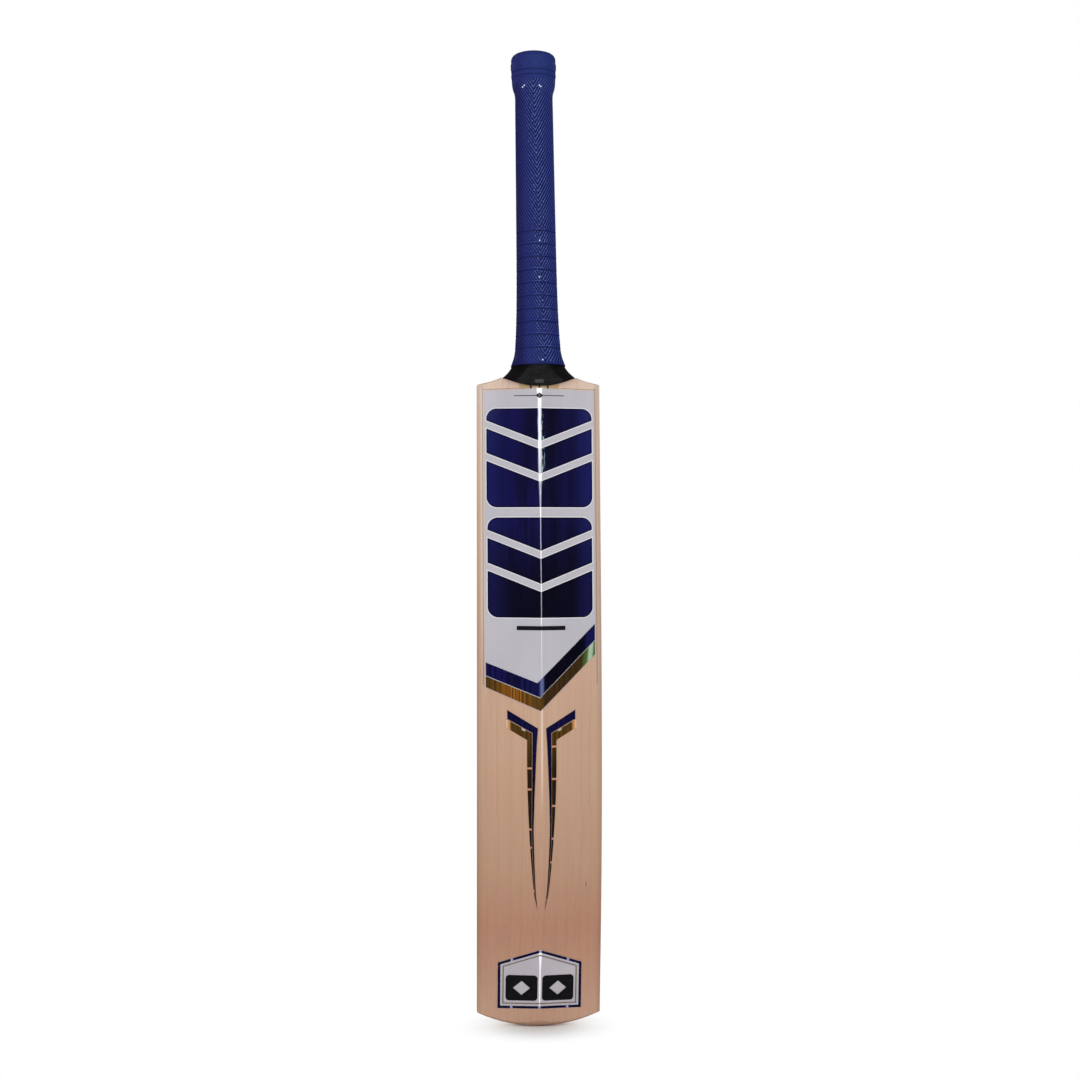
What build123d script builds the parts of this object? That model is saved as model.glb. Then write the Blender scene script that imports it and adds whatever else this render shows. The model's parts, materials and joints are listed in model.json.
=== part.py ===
from build123d import *
import math
import os

# ---------------------------------------------------------------------------
# Cricket bat, short-handle adult size. Millimetres, +Z up along the bat.
# The bat stands on its toe with the ridged back towards -Y and the hitting
# face towards +Y. The origin is under the middle of the toe.
# "Along" is a height measured up the tilted handle from its own origin,
# which lies near the shoulders.
# ---------------------------------------------------------------------------

# blade
BLADE_WIDTH = 108.0            # the widest the laws allow
HALF = BLADE_WIDTH / 2
FACE_Y = 9.6                   # flat of the face at the thickest part of the blade
FACE_CROWN = 1.6               # the face is rounded this much across its width
FRONT_CORNER = 4.5             # rounding between face and edge
BACK_CORNER = 7.0              # rounding between edge and back
RIDGE_HALF = 2.2               # half the width of the rounded ridge line
RIDGE_DROP = 0.25              # the rounded ridge stays this far inside the sharp one

# height, edge thickness, spine thickness, bow (the face is hollow lengthwise,
# so both ends stand forward), hollow of each back slope (negative bulges out)
BLADE_STATIONS = [
    (-12.0, 15.5, 21.5, 4.2, 0.8),
    (20.0, 18.5, 27.0, 2.9, 0.4),
    (60.0, 24.0, 37.0, 1.8, 0.15),
    (110.0, 30.5, 49.0, 0.9, -0.6),
    (165.0, 35.0, 57.5, 0.2, -1.0),
    (225.0, 36.5, 61.0, 0.0, -1.2),
    (290.0, 35.5, 59.5, 0.4, -1.1),
    (355.0, 32.0, 54.5, 1.4, -0.8),
    (420.0, 27.5, 47.0, 3.0, -0.2),
    (480.0, 23.5, 39.5, 5.1, 0.7),
    (530.0, 20.5, 33.8, 7.2, 1.7),
    (565.0, 19.0, 31.0, 8.9, 2.5),
    (590.0, 18.5, 30.4, 10.2, 2.9),
]

# blade outline, drawn wider than the blade so that it only cuts the ends
OUTLINE_HALF = HALF + 6
TOE_RISE = 15.2                # rise of the toe arc at OUTLINE_HALF
TOE_RADIUS = (OUTLINE_HALF**2 + TOE_RISE**2) / (2 * TOE_RISE)
TOE_FRONT = (14.6, 5.0)        # y of the face at the toe, rounding of its rim
TOE_BACK = (-7.4, 7.0)         # y of the back at the toe, rounding of its rim
SHOULDER_Z = 563.0             # height of the outer shoulder corners
SHOULDER_SOFT = 1.0            # softening of the shoulder rims
NECK_HALF, NECK_Z = 33.0, 568.6    # where the shoulders meet the scoop
SCOOP_Z = 560.6                # lowest point of the scoop, where the binding ends
SCOOP = [(-NECK_HALF, NECK_Z), (0.0, SCOOP_Z), (NECK_HALF, NECK_Z)]
SHOULDER_CURVE = [             # x, z of the right shoulder, inwards
    (OUTLINE_HALF, SHOULDER_Z - 0.6),
    (46.5, SHOULDER_Z + 1.0),
    (39.5, SHOULDER_Z + 3.0),
    (NECK_HALF, NECK_Z),
]

# handle
HANDLE_TILT = 5.0              # degrees the handle leans towards the face
HANDLE_LEAN = 0.6              # degrees it leans to the left, seen from the back
HANDLE_Y, HANDLE_Z = 4.6, 566.0    # origin of the handle axis
HANDLE_END = 289.5             # cane end, along
PROFILE_FLAT = 0.25            # the profile's corners are this short of full rounding

# along, half width and half depth of the bare handle
HANDLE_STATIONS = [
    (-12.5, 44.0, 15.1), (-7.5, 40.5, 15.1), (-4.5, 38.0, 15.1),
    (-1.5, 35.2, 15.1), (0.5, 33.0, 15.1), (2.5, 30.7, 15.1),
    (4.5, 28.4, 15.1), (7.0, 25.9, 15.1), (10.0, 23.6, 15.1),
    (13.5, 21.4, 15.1), (17.5, 19.6, 15.0), (22.5, 17.9, 14.9),
    (28.5, 16.8, 14.8), (36.5, 16.1, 14.7), (48.0, 15.5, 14.6),
    (65.0, 14.9, 14.4), (88.0, 14.45, 14.2), (120.0, 14.15, 14.05),
    (302.0, 13.05, 12.99),
]

# V splice between handle and blade, heights along
SPLICE_TIP, SPLICE_TIP_HALF = -138.0, 3.0
SPLICE_TOP, SPLICE_TOP_HALF = 26.0, 20.6
GLUE_LINE = 0.08               # glue gap on each side of the splice

# cane slips and rubber springs
SLIP_COLUMN = 7.4              # outer columns begin this far from the middle
SLIP_ROW = 5.2                 # middle row reaches this far front and back
RUBBER_THICK = 1.6
RUBBER_LOW = SPLICE_TOP - 82.0     # lower end of the springs, along
SPRING_DEPTH = 12.85           # half depth of the rubber inside the round handle
SPRING_ROUND_LOW = 20.0        # along, where SPRING_DEPTH begins to hold
SPRING_BACK_DEPTH = 14.9       # reach to the back around the shoulders
SPRING_BACK_LOW, SPRING_BACK_LENGTH = -8.2, 65.0    # where that limit holds

# binding and grip
TWINE_THICK = 1.1
TWINE_GAP = 0.05
TWINE_END = 287.0
GRIP_THICK = 2.0
GRIP_GAP = 0.1
GRIP_INSIDE = TWINE_GAP + TWINE_THICK + GRIP_GAP
GRIP_LOW = 12.5                # lower end of the grip, along
GRIP_THINNING = 0.8            # wall lost at the lower end
GRIP_TAPER_TOP, GRIP_TAPER_LENGTH = 32.0, 19.0
GRIP_END_GAP = 0.6             # between the cane end and the top of the grip
SLEEVE_TOP = 260.0             # the plain sleeve ends here, inside the collar
COLLAR_RADIUS = 19.8
COLLAR_CYLINDER = (275.0, 288.5)   # the exact round part of the collar
COLLAR_TOP = 293.4
COLLAR_RIM = (14.8, COLLAR_TOP - 0.1)
LIP_RADIUS = 10.8              # the opening in the top of the grip
COLLAR_PROFILE = [             # radius, along
    (16.0, 250.0), (16.55, 253.5), (16.85, 257.0),
    (17.75, 260.2), (18.6, 263.0), (18.95, 265.6),
]

# decals
FILM_THICK = 0.22
FOIL_THICK = 0.16
DECAL_GAP = 0.02

# reaches of cutting bodies, all well past the bat
THROUGH_BLADE = 90
THROUGH_HANDLE = 120
ABOVE_BAT_Z = 900
FAR = 80                       # past the sides of the handle
CUT_WIDTH, CUT_LENGTH = 200, 100   # blocks that trim the handle's ends
SPRING_CUT = 60                # depth of the blocks that trim the springs
CANE_LENGTH = 400              # past both springs and slips

tilt, lean = math.radians(HANDLE_TILT), math.radians(HANDLE_LEAN)
handle_plane = Plane(
    origin=(0, HANDLE_Y, HANDLE_Z),
    x_dir=(math.cos(lean), math.sin(tilt) * math.sin(lean), math.cos(tilt) * math.sin(lean)),
    z_dir=(-math.sin(lean), math.sin(tilt) * math.cos(lean), math.cos(tilt) * math.cos(lean)),
)
# views from the back: sketch x is across the bat, sketch y is up
handle_view = Plane(
    origin=handle_plane.origin,
    x_dir=handle_plane.x_dir,
    z_dir=-handle_plane.y_dir,
)
bat_view = Plane(origin=(0, 0, 0), x_dir=(1, 0, 0), z_dir=(0, -1, 0))
# seen from the side: sketch x is the bat's y, sketch y is up
side_view = Plane(origin=(0, 0, 0), x_dir=(0, 1, 0), z_dir=(1, 0, 0))

os.makedirs("parts", exist_ok=True)


def save(part, name):
    part.label = name
    export_step(part, f"parts/{name}.step")


def mirror_points(points):
    """The same points on the other side of the middle, in reverse order."""
    return [(-x, y) for x, y in reversed(points)]


# --- blade form ------------------------------------------------------------


def corner_points(before, corner, after, reach):
    """Start, middle and end of a round corner between two straight sides."""
    to_before = (before - corner).normalized()
    to_after = (after - corner).normalized()
    half_angle = math.acos(max(-1.0, min(1.0, to_before.dot(to_after)))) / 2
    bisector = (to_before + to_after).normalized()
    radius = reach * math.tan(half_angle)
    centre = corner + bisector * (reach / math.cos(half_angle))
    return corner + to_before * reach, centre - bisector * radius, corner + to_after * reach


def blade_section(edge, spine, bow, hollow):
    """One level section through the blade, drawn inside a BuildLine."""
    face = FACE_Y + bow
    ridge = face + FACE_CROWN - spine
    front_corner = Vector(HALF, face)
    back_corner = Vector(HALF, face - edge)
    apex = Vector(0, ridge)
    front_arc = corner_points(Vector(0, face), front_corner, back_corner, FRONT_CORNER)
    back_arc = corner_points(front_corner, back_corner, apex, BACK_CORNER)

    along_slope = (apex - back_corner).normalized()
    inward = Vector(along_slope.Y, -along_slope.X)
    slope_start = back_arc[-1]
    slope_end = apex - along_slope * RIDGE_HALF
    slope_middle = (slope_start + slope_end) * 0.5 + inward * hollow
    slope_arc = (slope_start, slope_middle, slope_end)

    front, back, slope = (
        [(point.X, point.Y) for point in arc] for arc in (front_arc, back_arc, slope_arc)
    )
    left_front, left_back, left_slope = map(mirror_points, (front, back, slope))

    ThreePointArc(left_front[-1], (0, face + FACE_CROWN), front[0])
    ThreePointArc(*front)
    Line(front[-1], back[0])
    ThreePointArc(*back)
    ThreePointArc(*slope)
    ThreePointArc(slope[-1], (0, ridge + RIDGE_DROP), left_slope[0])
    ThreePointArc(*left_slope)
    ThreePointArc(*left_back)
    Line(left_back[-1], left_front[0])
    ThreePointArc(*left_front)


# the blade's faces and edges, longer than the blade at both ends
with BuildPart() as blade_form:
    for height, *section in BLADE_STATIONS:
        with BuildSketch(Plane.XY.offset(height)):
            with BuildLine():
                blade_section(*section)
            make_face()
    loft()

# outline of the blade: toe arc, shoulders, and the scoop between them
toe_side = (OUTLINE_HALF, TOE_RISE)
toe_far_side = (-OUTLINE_HALF, TOE_RISE)
with BuildPart() as blade_outline:
    with BuildSketch(bat_view):
        with BuildLine():
            ThreePointArc(toe_far_side, (0, 0), toe_side)
            Line(toe_side, SHOULDER_CURVE[0])
            Spline(*SHOULDER_CURVE)
            ThreePointArc(*reversed(SCOOP))
            Spline(*mirror_points(SHOULDER_CURVE))
            Line((-OUTLINE_HALF, SHOULDER_CURVE[0][1]), toe_far_side)
        make_face()
    extrude(amount=THROUGH_BLADE, both=True)

with BuildPart() as blade_solid:
    add(blade_form.part)
    add(blade_outline.part, mode=Mode.INTERSECT)

# --- handle form -----------------------------------------------------------

# everything above the scoop line
with BuildPart() as above_scoop:
    with BuildSketch(bat_view):
        with BuildLine():
            ThreePointArc(*SCOOP)
            Polyline(
                SCOOP[-1],
                (THROUGH_HANDLE, NECK_Z),
                (THROUGH_HANDLE, ABOVE_BAT_Z),
                (-THROUGH_HANDLE, ABOVE_BAT_Z),
                (-THROUGH_HANDLE, NECK_Z),
                SCOOP[0],
            )
        make_face()
    extrude(amount=THROUGH_HANDLE, both=True)


def handle_loft(pad, thinning=lambda along: 0.0):
    """The handle's form grown by pad, less the thinning at each station."""
    with BuildPart() as form:
        for along, half_width, half_depth in HANDLE_STATIONS:
            grow = pad - thinning(along)
            with BuildSketch(handle_plane.offset(along)):
                RectangleRounded(
                    2 * (half_width + grow),
                    2 * (half_depth + grow),
                    min(half_width, half_depth) + grow - PROFILE_FLAT,
                )
        loft(ruled=True)
    return form.part


bare_handle = handle_loft(0.0)
with BuildPart() as handle_form:
    add(bare_handle)
    add(above_scoop.part, mode=Mode.INTERSECT)
    with BuildSketch(handle_plane.offset(HANDLE_END)):
        Rectangle(CUT_WIDTH, CUT_WIDTH)
    extrude(amount=CUT_LENGTH, mode=Mode.SUBTRACT)


def splice_points(grow):
    """Outline of the handle blank: the V below, wide open above."""
    slope = (SPLICE_TOP_HALF - SPLICE_TIP_HALF) / (SPLICE_TOP - SPLICE_TIP)
    sideways = grow * math.sqrt(1 + slope * slope)
    right = [
        (SPLICE_TIP_HALF + sideways, SPLICE_TIP - grow),
        (SPLICE_TOP_HALF + sideways, SPLICE_TOP),
        (70, SPLICE_TOP),
        (70, 400),
    ]
    return right + mirror_points(right)


with BuildPart() as handle_blank:
    add(blade_solid.part)
    add(handle_form.part)
    with BuildSketch(handle_view):
        Polygon(*splice_points(0.0), align=None)
    extrude(amount=THROUGH_HANDLE, both=True, mode=Mode.INTERSECT)

# --- blade -----------------------------------------------------------------
# the toe's rim is rounded all along its arc: two ring-shaped slivers, turned
# about the centre of the toe arc, are cut away from its front and its back
front_y, front_reach = TOE_FRONT
back_y, back_reach = TOE_BACK
# three points of each rounding as y, z, then the y where its sliver ends
toe_rims = [
    (
        (front_y - front_reach, 0),
        (front_y - 0.26 * front_reach, 0.32 * front_reach),
        (front_y + 0.3, 1.25 * front_reach),
        front_y + 12,
    ),
    (
        (back_y + back_reach, 0),
        (back_y + 0.2 * back_reach, 0.36 * back_reach),
        (back_y - 0.52 * back_reach, 1.5 * back_reach),
        back_y - 25,
    ),
]
BELOW_TOE = -2
with BuildPart() as toe_rounding:
    with BuildSketch(side_view):
        for low, middle, high, outer_y in toe_rims:
            with BuildLine():
                ThreePointArc(low, middle, high)
                Polyline(
                    high, (outer_y, high[1]), (outer_y, BELOW_TOE), (low[0], BELOW_TOE), low
                )
            make_face()
    revolve(axis=Axis((0, 0, TOE_RADIUS), (0, 1, 0)), revolution_arc=360)
    # keep only the lower part of the rings
    with BuildSketch(Plane.XY.offset(60)):
        Rectangle(600, 600)
    extrude(amount=400, mode=Mode.SUBTRACT)


def is_shoulder_rim(edge):
    """Picks the long rims of the shoulders, not the edges that cross them."""
    centre = edge.center()
    return (
        centre.Z > 560
        and abs(centre.X) > 36
        and edge.length > 3.2
        and edge.bounding_box().size.Y < 7.4
    )


with BuildPart() as blade:
    add(blade_solid.part)
    add(toe_rounding.part, mode=Mode.SUBTRACT)
    chamfer(blade.edges().filter_by(is_shoulder_rim), length=SHOULDER_SOFT)
    add(handle_form.part)
    with BuildSketch(handle_view):
        Polygon(*splice_points(GLUE_LINE), align=None)
    extrude(amount=THROUGH_HANDLE, both=True, mode=Mode.SUBTRACT)
save(blade.part, "blade")

# --- handle: rubber springs and cane slips ---------------------------------
SPRINGS = {"left": -SLIP_COLUMN, "centre": 0.0, "right": SLIP_COLUMN}
with BuildPart() as spring_slots:
    for x in SPRINGS.values():
        with BuildSketch(handle_plane.offset(RUBBER_LOW)):
            with Locations((x, 0)):
                Rectangle(RUBBER_THICK, 2 * FAR)
        extrude(amount=CANE_LENGTH)


def rubber_spring(x):
    trim_width = 8 * RUBBER_THICK
    round_y = SPRING_DEPTH + SPRING_CUT / 2
    back_trim_y = -SPRING_BACK_DEPTH - SPRING_CUT / 2
    with BuildPart() as spring:
        add(handle_blank.part)
        with BuildSketch(handle_plane.offset(RUBBER_LOW)):
            with Locations((x, 0)):
                Rectangle(RUBBER_THICK, 2 * FAR)
        extrude(amount=CANE_LENGTH, mode=Mode.INTERSECT)
        # above the shoulders it stops just short of the cane's surface
        with BuildSketch(handle_plane.offset(SPRING_ROUND_LOW)):
            with Locations((x, round_y), (x, -round_y)):
                Rectangle(trim_width, SPRING_CUT)
        extrude(amount=CANE_LENGTH, mode=Mode.SUBTRACT)
        with BuildSketch(handle_plane.offset(SPRING_BACK_LOW)):
            with Locations((x, back_trim_y)):
                Rectangle(trim_width, SPRING_CUT)
        extrude(amount=SPRING_BACK_LENGTH, mode=Mode.SUBTRACT)
    return spring.part


for side, x in SPRINGS.items():
    save(rubber_spring(x), f"rubber_spring_{side}")

# x range of each column and y range of each row, in the handle's own frame
COLUMNS = {
    "outer_left": (-FAR, -SLIP_COLUMN),
    "inner_left": (-SLIP_COLUMN, 0.0),
    "inner_right": (0.0, SLIP_COLUMN),
    "outer_right": (SLIP_COLUMN, FAR),
}
ROWS = {
    "front": (SLIP_ROW, FAR),
    "middle": (-SLIP_ROW, SLIP_ROW),
    "back": (-FAR, -SLIP_ROW),
}


def cane_slip(x_range, y_range):
    x0, x1 = x_range
    y0, y1 = y_range
    with BuildPart() as slip:
        add(handle_blank.part)
        with BuildSketch(handle_plane.offset(-200)):
            with Locations(((x0 + x1) / 2, (y0 + y1) / 2)):
                Rectangle(x1 - x0, y1 - y0)
        extrude(amount=600, mode=Mode.INTERSECT)
        add(spring_slots.part, mode=Mode.SUBTRACT)
    return slip.part


for column, x_range in COLUMNS.items():
    for row, y_range in ROWS.items():
        save(cane_slip(x_range, y_range), f"cane_{column}_{row}")

# --- twine binding ---------------------------------------------------------
twine_inside = handle_loft(TWINE_GAP)
twine_outside = handle_loft(TWINE_GAP + TWINE_THICK)
with BuildPart() as twine_binding:
    add(twine_outside)
    add(twine_inside, mode=Mode.SUBTRACT)
    add(above_scoop.part, mode=Mode.INTERSECT)
    with BuildSketch(handle_plane.offset(TWINE_END)):
        Rectangle(CUT_WIDTH, CUT_WIDTH)
    extrude(amount=CUT_LENGTH, mode=Mode.SUBTRACT)
save(twine_binding.part, "twine_binding")

# --- rubber grip -----------------------------------------------------------


def grip_thinning(along):
    """The grip's wall grows thinner towards its lower end."""
    return GRIP_THINNING * max(0.0, min(1.0, (GRIP_TAPER_TOP - along) / GRIP_TAPER_LENGTH))


grip_core = handle_loft(GRIP_INSIDE)
grip_sleeve = handle_loft(GRIP_INSIDE + GRIP_THICK, grip_thinning)

with BuildPart() as grip_inside:
    add(grip_core)
    with BuildSketch(handle_plane.offset(HANDLE_END + GRIP_END_GAP)):
        Rectangle(CUT_WIDTH, CUT_WIDTH)
    extrude(amount=CUT_LENGTH, mode=Mode.SUBTRACT)

collar_base = (0, COLLAR_PROFILE[0][1])
cylinder_low, cylinder_high = [(COLLAR_RADIUS, along) for along in COLLAR_CYLINDER]
with BuildPart() as grip:
    add(grip_sleeve)
    with BuildSketch(handle_plane.offset(SLEEVE_TOP)):
        Rectangle(CUT_WIDTH, CUT_WIDTH)
    extrude(amount=CUT_LENGTH, mode=Mode.SUBTRACT)
    with BuildSketch(handle_plane.offset(GRIP_LOW)):
        Rectangle(CUT_WIDTH, CUT_WIDTH)
    extrude(amount=-CUT_LENGTH, mode=Mode.SUBTRACT)
    # the collar, turned about the handle's axis
    with BuildSketch(handle_view):
        with BuildLine():
            Line(collar_base, COLLAR_PROFILE[0])
            Spline(*COLLAR_PROFILE)
            Polyline(COLLAR_PROFILE[-1], cylinder_low, cylinder_high)
            ThreePointArc(cylinder_high, (18.35, 292.1), COLLAR_RIM)
            Polyline(COLLAR_RIM, (0, COLLAR_TOP), collar_base)
        make_face()
    revolve(axis=Axis(handle_plane.origin, handle_plane.z_dir), revolution_arc=360)
    add(grip_inside.part, mode=Mode.SUBTRACT)
    with BuildSketch(handle_plane.offset(HANDLE_END)):
        Circle(LIP_RADIUS)
    extrude(amount=20, mode=Mode.SUBTRACT)
save(grip.part, "grip")

# --- decals on the back ----------------------------------------------------
# Each decal is a thin sheet that follows the blade's back. It is cut by its
# outline, seen from the back, between two copies of the back moved outwards.
# Outline points are x, z.
decal_plane = bat_view.offset(-6)    # inside the blade


def back_layer(start, thickness):
    """The blade form moved out to a layer's inner and outer surface."""
    return [
        blade_form.part.moved(Location((0, -depth, 0))) for depth in (start, start + thickness)
    ]


film_layer = back_layer(DECAL_GAP, FILM_THICK)
foil_layer = back_layer(DECAL_GAP + FILM_THICK + DECAL_GAP, FOIL_THICK)


def keep_layer(layer):
    """Trims the current BuildPart to a layer on the blade's back."""
    inner, outer = layer
    add(outer, mode=Mode.INTERSECT)
    add(inner, mode=Mode.SUBTRACT)


def save_decal(name, points, layer):
    """A decal with a straight-sided outline."""
    with BuildPart() as decal:
        with BuildSketch(decal_plane):
            Polygon(*points, align=None)
        extrude(amount=THROUGH_BLADE)
        keep_layer(layer)
    save(decal.part, name)


# main label
LABEL_HALF = 48.0
LABEL_TOP = 558.9              # on the ridge
LABEL_CORNER_Z = LABEL_TOP - 2.0
LABEL = [
    (LABEL_HALF, LABEL_CORNER_Z), (0, LABEL_TOP), (-LABEL_HALF, LABEL_CORNER_Z),
    (-LABEL_HALF, 298.9), (-1.2, 279.4), (LABEL_HALF, 327.4),
]
save_decal("label_film", LABEL, film_layer)

# foil blocks: two rounded panels, each cut into three by two chevron gaps
PANELS = {"upper": (46.2, 454.6, 541.2), "lower": (45.6, 359.3, 445.8)}  # half width, low, high
PANEL_CORNER = 9.0
STROKE = 6.9                   # upright width of a chevron gap
STROKE_RISE = 0.40             # its slope
STROKE_TOPS = (29.0, 57.5)     # below the panel's top, on the ridge
BAND_EXTRA = 60                # the outer bands are drawn this far past the panel


def chevron(half, top_z, bottom_z):
    """A V-shaped strip, symmetric about the ridge."""
    rise = half * STROKE_RISE
    return [
        (-half, top_z + rise), (0.0, top_z), (half, top_z + rise),
        (half, bottom_z + rise), (0.0, bottom_z), (-half, bottom_z + rise),
    ]


def foil_block(half, low, high, band):
    with BuildPart() as block:
        with BuildSketch(decal_plane):
            with Locations((0, (low + high) / 2)):
                RectangleRounded(2 * half, high - low, PANEL_CORNER)
            Polygon(*chevron(half + 5, *band), align=None, mode=Mode.INTERSECT)
        extrude(amount=THROUGH_BLADE)
        keep_layer(foil_layer)
    return block.part


for panel, (half, low, high) in PANELS.items():
    first, second = [high - drop for drop in STROKE_TOPS]
    bands = {
        "top": (high + BAND_EXTRA, first),
        "middle": (first - STROKE, second),
        "bottom": (second - STROKE, low - BAND_EXTRA),
    }
    for band_name, band in bands.items():
        save(foil_block(half, low, high, band), f"foil_block_{panel}_{band_name}")

# straight-sided foil shapes on the label
LABEL_FOILS = {
    "label_hairline": [
        (-22.0, 552.65), (-3.2, 552.65), (0.0, 554.9), (3.2, 552.65), (22.0, 552.65),
        (22.0, 552.05), (3.2, 552.05), (0.0, 549.8), (-3.2, 552.05), (-22.0, 552.05),
    ],
    "label_bar": [(-21.0, 352.2), (21.0, 352.2), (21.0, 348.6), (-21.0, 348.6)],
    "label_band_blue": [
        (-47.4, 320.4), (-3.8, 303.5), (0.4, 307.9), (47.4, 353.3),
        (47.4, 339.7), (0.4, 293.6), (-1.2, 291.2), (-47.4, 309.2),
    ],
    "label_band_gold": [
        (-47.4, 308.5), (-1.2, 290.5), (0.4, 292.9), (47.4, 339.0),
        (47.4, 327.2), (-1.2, 279.8), (-47.4, 299.1),
    ],
}
for name, points in LABEL_FOILS.items():
    save_decal(name, points, foil_layer)

# long flashes: drawn on the right side, mirrored for the left
FLASH_EDGE = [                 # inner edge of the blue flash, down to its tip
    (3.5, 264.8), (4.6, 249.0), (5.4, 230.0), (6.4, 205.0),
    (7.1, 178.6), (6.7, 163.0), (6.0, 143.0), (4.9, 123.0), (3.2, 106.9),
]
FLASH_SEAM = [                 # where the blue flash meets the gold, downwards
    (8.1, 260.9), (8.3, 220.0), (8.5, 185.0), (8.1, 163.0), (7.0, 143.0), (5.5, 123.0),
]
FLASH_SEAM_GAP = 0.35          # the gold stands this far off the seam
FLASH_OUTER = [                # outer edge of the gold flash, downwards
    (12.6, 254.7), (12.6, 230.0), (12.2, 210.0), (11.4, 190.0),
    (10.2, 168.0), (8.7, 148.0), (7.4, 133.0), (5.9, 120.0),
]
FLASHES = {
    "blue": [(29.3, 280.0), *FLASH_EDGE, *FLASH_SEAM[::-1], (28.6, 272.0), (29.3, 272.0)],
    "gold": [
        (29.0, 271.4), (8.6, 260.6),
        *[(x + FLASH_SEAM_GAP, z) for x, z in FLASH_SEAM[1:]],
        (3.45, 108.5),
        *FLASH_OUTER[::-1],
        (30.2, 264.9), (30.2, 271.4),
    ],
}
for colour, outline in FLASHES.items():
    save_decal(f"flash_left_{colour}", mirror_points(outline), film_layer)
    save_decal(f"flash_right_{colour}", outline, film_layer)

# toe badge: a five-sided sticker with a border, a gold line and an emblem
BADGE = [(-36.6, 17.3), (36.6, 17.3), (36.6, 58.9), (0.0, 71.4), (-36.6, 58.9)]
save_decal("badge_film", BADGE, film_layer)

# inset from the badge's outline, width
RINGS = {"badge_border": (0.15, 2.2), "badge_gold_line": (4.3, 0.9)}


def badge_ring(inset, width):
    with BuildPart() as ring:
        with BuildSketch(decal_plane):
            Polygon(*BADGE, align=None)
            offset(amount=-inset, kind=Kind.INTERSECTION, mode=Mode.REPLACE)
        with BuildSketch(decal_plane, mode=Mode.PRIVATE) as hole:
            Polygon(*BADGE, align=None)
            offset(amount=-inset - width, kind=Kind.INTERSECTION, mode=Mode.REPLACE)
        extrude(amount=THROUGH_BLADE)
        extrude(hole.sketch, amount=THROUGH_BLADE, mode=Mode.SUBTRACT)
        keep_layer(foil_layer)
    return ring.part


for name, (inset, width) in RINGS.items():
    save(badge_ring(inset, width), name)

# emblem: two rounded blocks, each with a lozenge-shaped window
EMBLEM_X, EMBLEM_Z = 15.8, 36.2    # centre of the right block
EMBLEM_WIDTH, EMBLEM_HEIGHT, EMBLEM_CORNER = 27.6, 23.2, 3.2
WINDOW_HALF_WIDTH, WINDOW_HALF_HEIGHT = 7.4, 6.4


def badge_emblem(x):
    window = [
        (x - WINDOW_HALF_WIDTH, EMBLEM_Z), (x, EMBLEM_Z - WINDOW_HALF_HEIGHT),
        (x + WINDOW_HALF_WIDTH, EMBLEM_Z), (x, EMBLEM_Z + WINDOW_HALF_HEIGHT),
    ]
    with BuildPart() as emblem:
        with BuildSketch(decal_plane):
            with Locations((x, EMBLEM_Z)):
                RectangleRounded(EMBLEM_WIDTH, EMBLEM_HEIGHT, EMBLEM_CORNER)
            Polygon(*window, align=None, mode=Mode.SUBTRACT)
        extrude(amount=THROUGH_BLADE)
        keep_layer(foil_layer)
    return emblem.part


for side, x in {"left": -EMBLEM_X, "right": EMBLEM_X}.items():
    save(badge_emblem(x), f"badge_emblem_{side}")
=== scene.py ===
"""Cricket bat: a grip sleeve and a twine binding built onto the CAD pieces, with all finishes.

The bat stands on its toe at z = 0 with the handle up (+Z). The ridged back looks towards -Y
and the camera, the face towards +Y, and +X is on the camera's right. Objects are in metres;
the shape and material numbers are in millimetres unless a comment says otherwise.
"""

import json
import math

import bpy
import numpy as np
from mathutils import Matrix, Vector

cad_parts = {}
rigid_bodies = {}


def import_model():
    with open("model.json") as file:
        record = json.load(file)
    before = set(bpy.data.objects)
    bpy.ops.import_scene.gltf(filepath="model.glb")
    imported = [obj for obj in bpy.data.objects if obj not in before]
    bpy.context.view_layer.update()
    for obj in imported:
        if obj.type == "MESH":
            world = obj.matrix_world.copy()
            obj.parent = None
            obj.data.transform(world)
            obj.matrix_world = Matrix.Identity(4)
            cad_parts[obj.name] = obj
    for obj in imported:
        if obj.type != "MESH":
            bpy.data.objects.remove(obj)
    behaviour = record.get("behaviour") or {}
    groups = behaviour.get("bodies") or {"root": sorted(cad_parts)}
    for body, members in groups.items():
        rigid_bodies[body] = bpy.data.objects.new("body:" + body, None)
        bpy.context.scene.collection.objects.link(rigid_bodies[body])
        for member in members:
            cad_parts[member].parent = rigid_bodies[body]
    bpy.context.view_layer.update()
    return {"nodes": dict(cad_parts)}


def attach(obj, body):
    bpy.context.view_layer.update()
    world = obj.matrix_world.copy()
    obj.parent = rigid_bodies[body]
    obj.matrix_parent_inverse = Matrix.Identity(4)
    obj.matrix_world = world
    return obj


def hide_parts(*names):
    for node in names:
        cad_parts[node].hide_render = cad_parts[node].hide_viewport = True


MM = 0.001

for thing in list(bpy.data.objects):
    bpy.data.objects.remove(thing, do_unlink=True)

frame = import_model()
nodes = frame["nodes"]

# --------------------------------------------------------------------------
# handle: its own axes, and the section the grip and the twine are wrapped on
# --------------------------------------------------------------------------
TILT = math.radians(5.0)  # towards the face
LEAN = math.radians(0.6)  # towards -X
HANDLE_ORIGIN = np.array([0.0, 4.6, 566.0])
HANDLE_X = np.array([
    math.cos(LEAN), math.sin(TILT) * math.sin(LEAN), math.cos(TILT) * math.sin(LEAN),
])
HANDLE_Y = np.array([0.0, math.cos(TILT), -math.sin(TILT)])
HANDLE_Z = np.array([
    -math.sin(LEAN), math.sin(TILT) * math.cos(LEAN), math.cos(TILT) * math.cos(LEAN),
])

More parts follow.
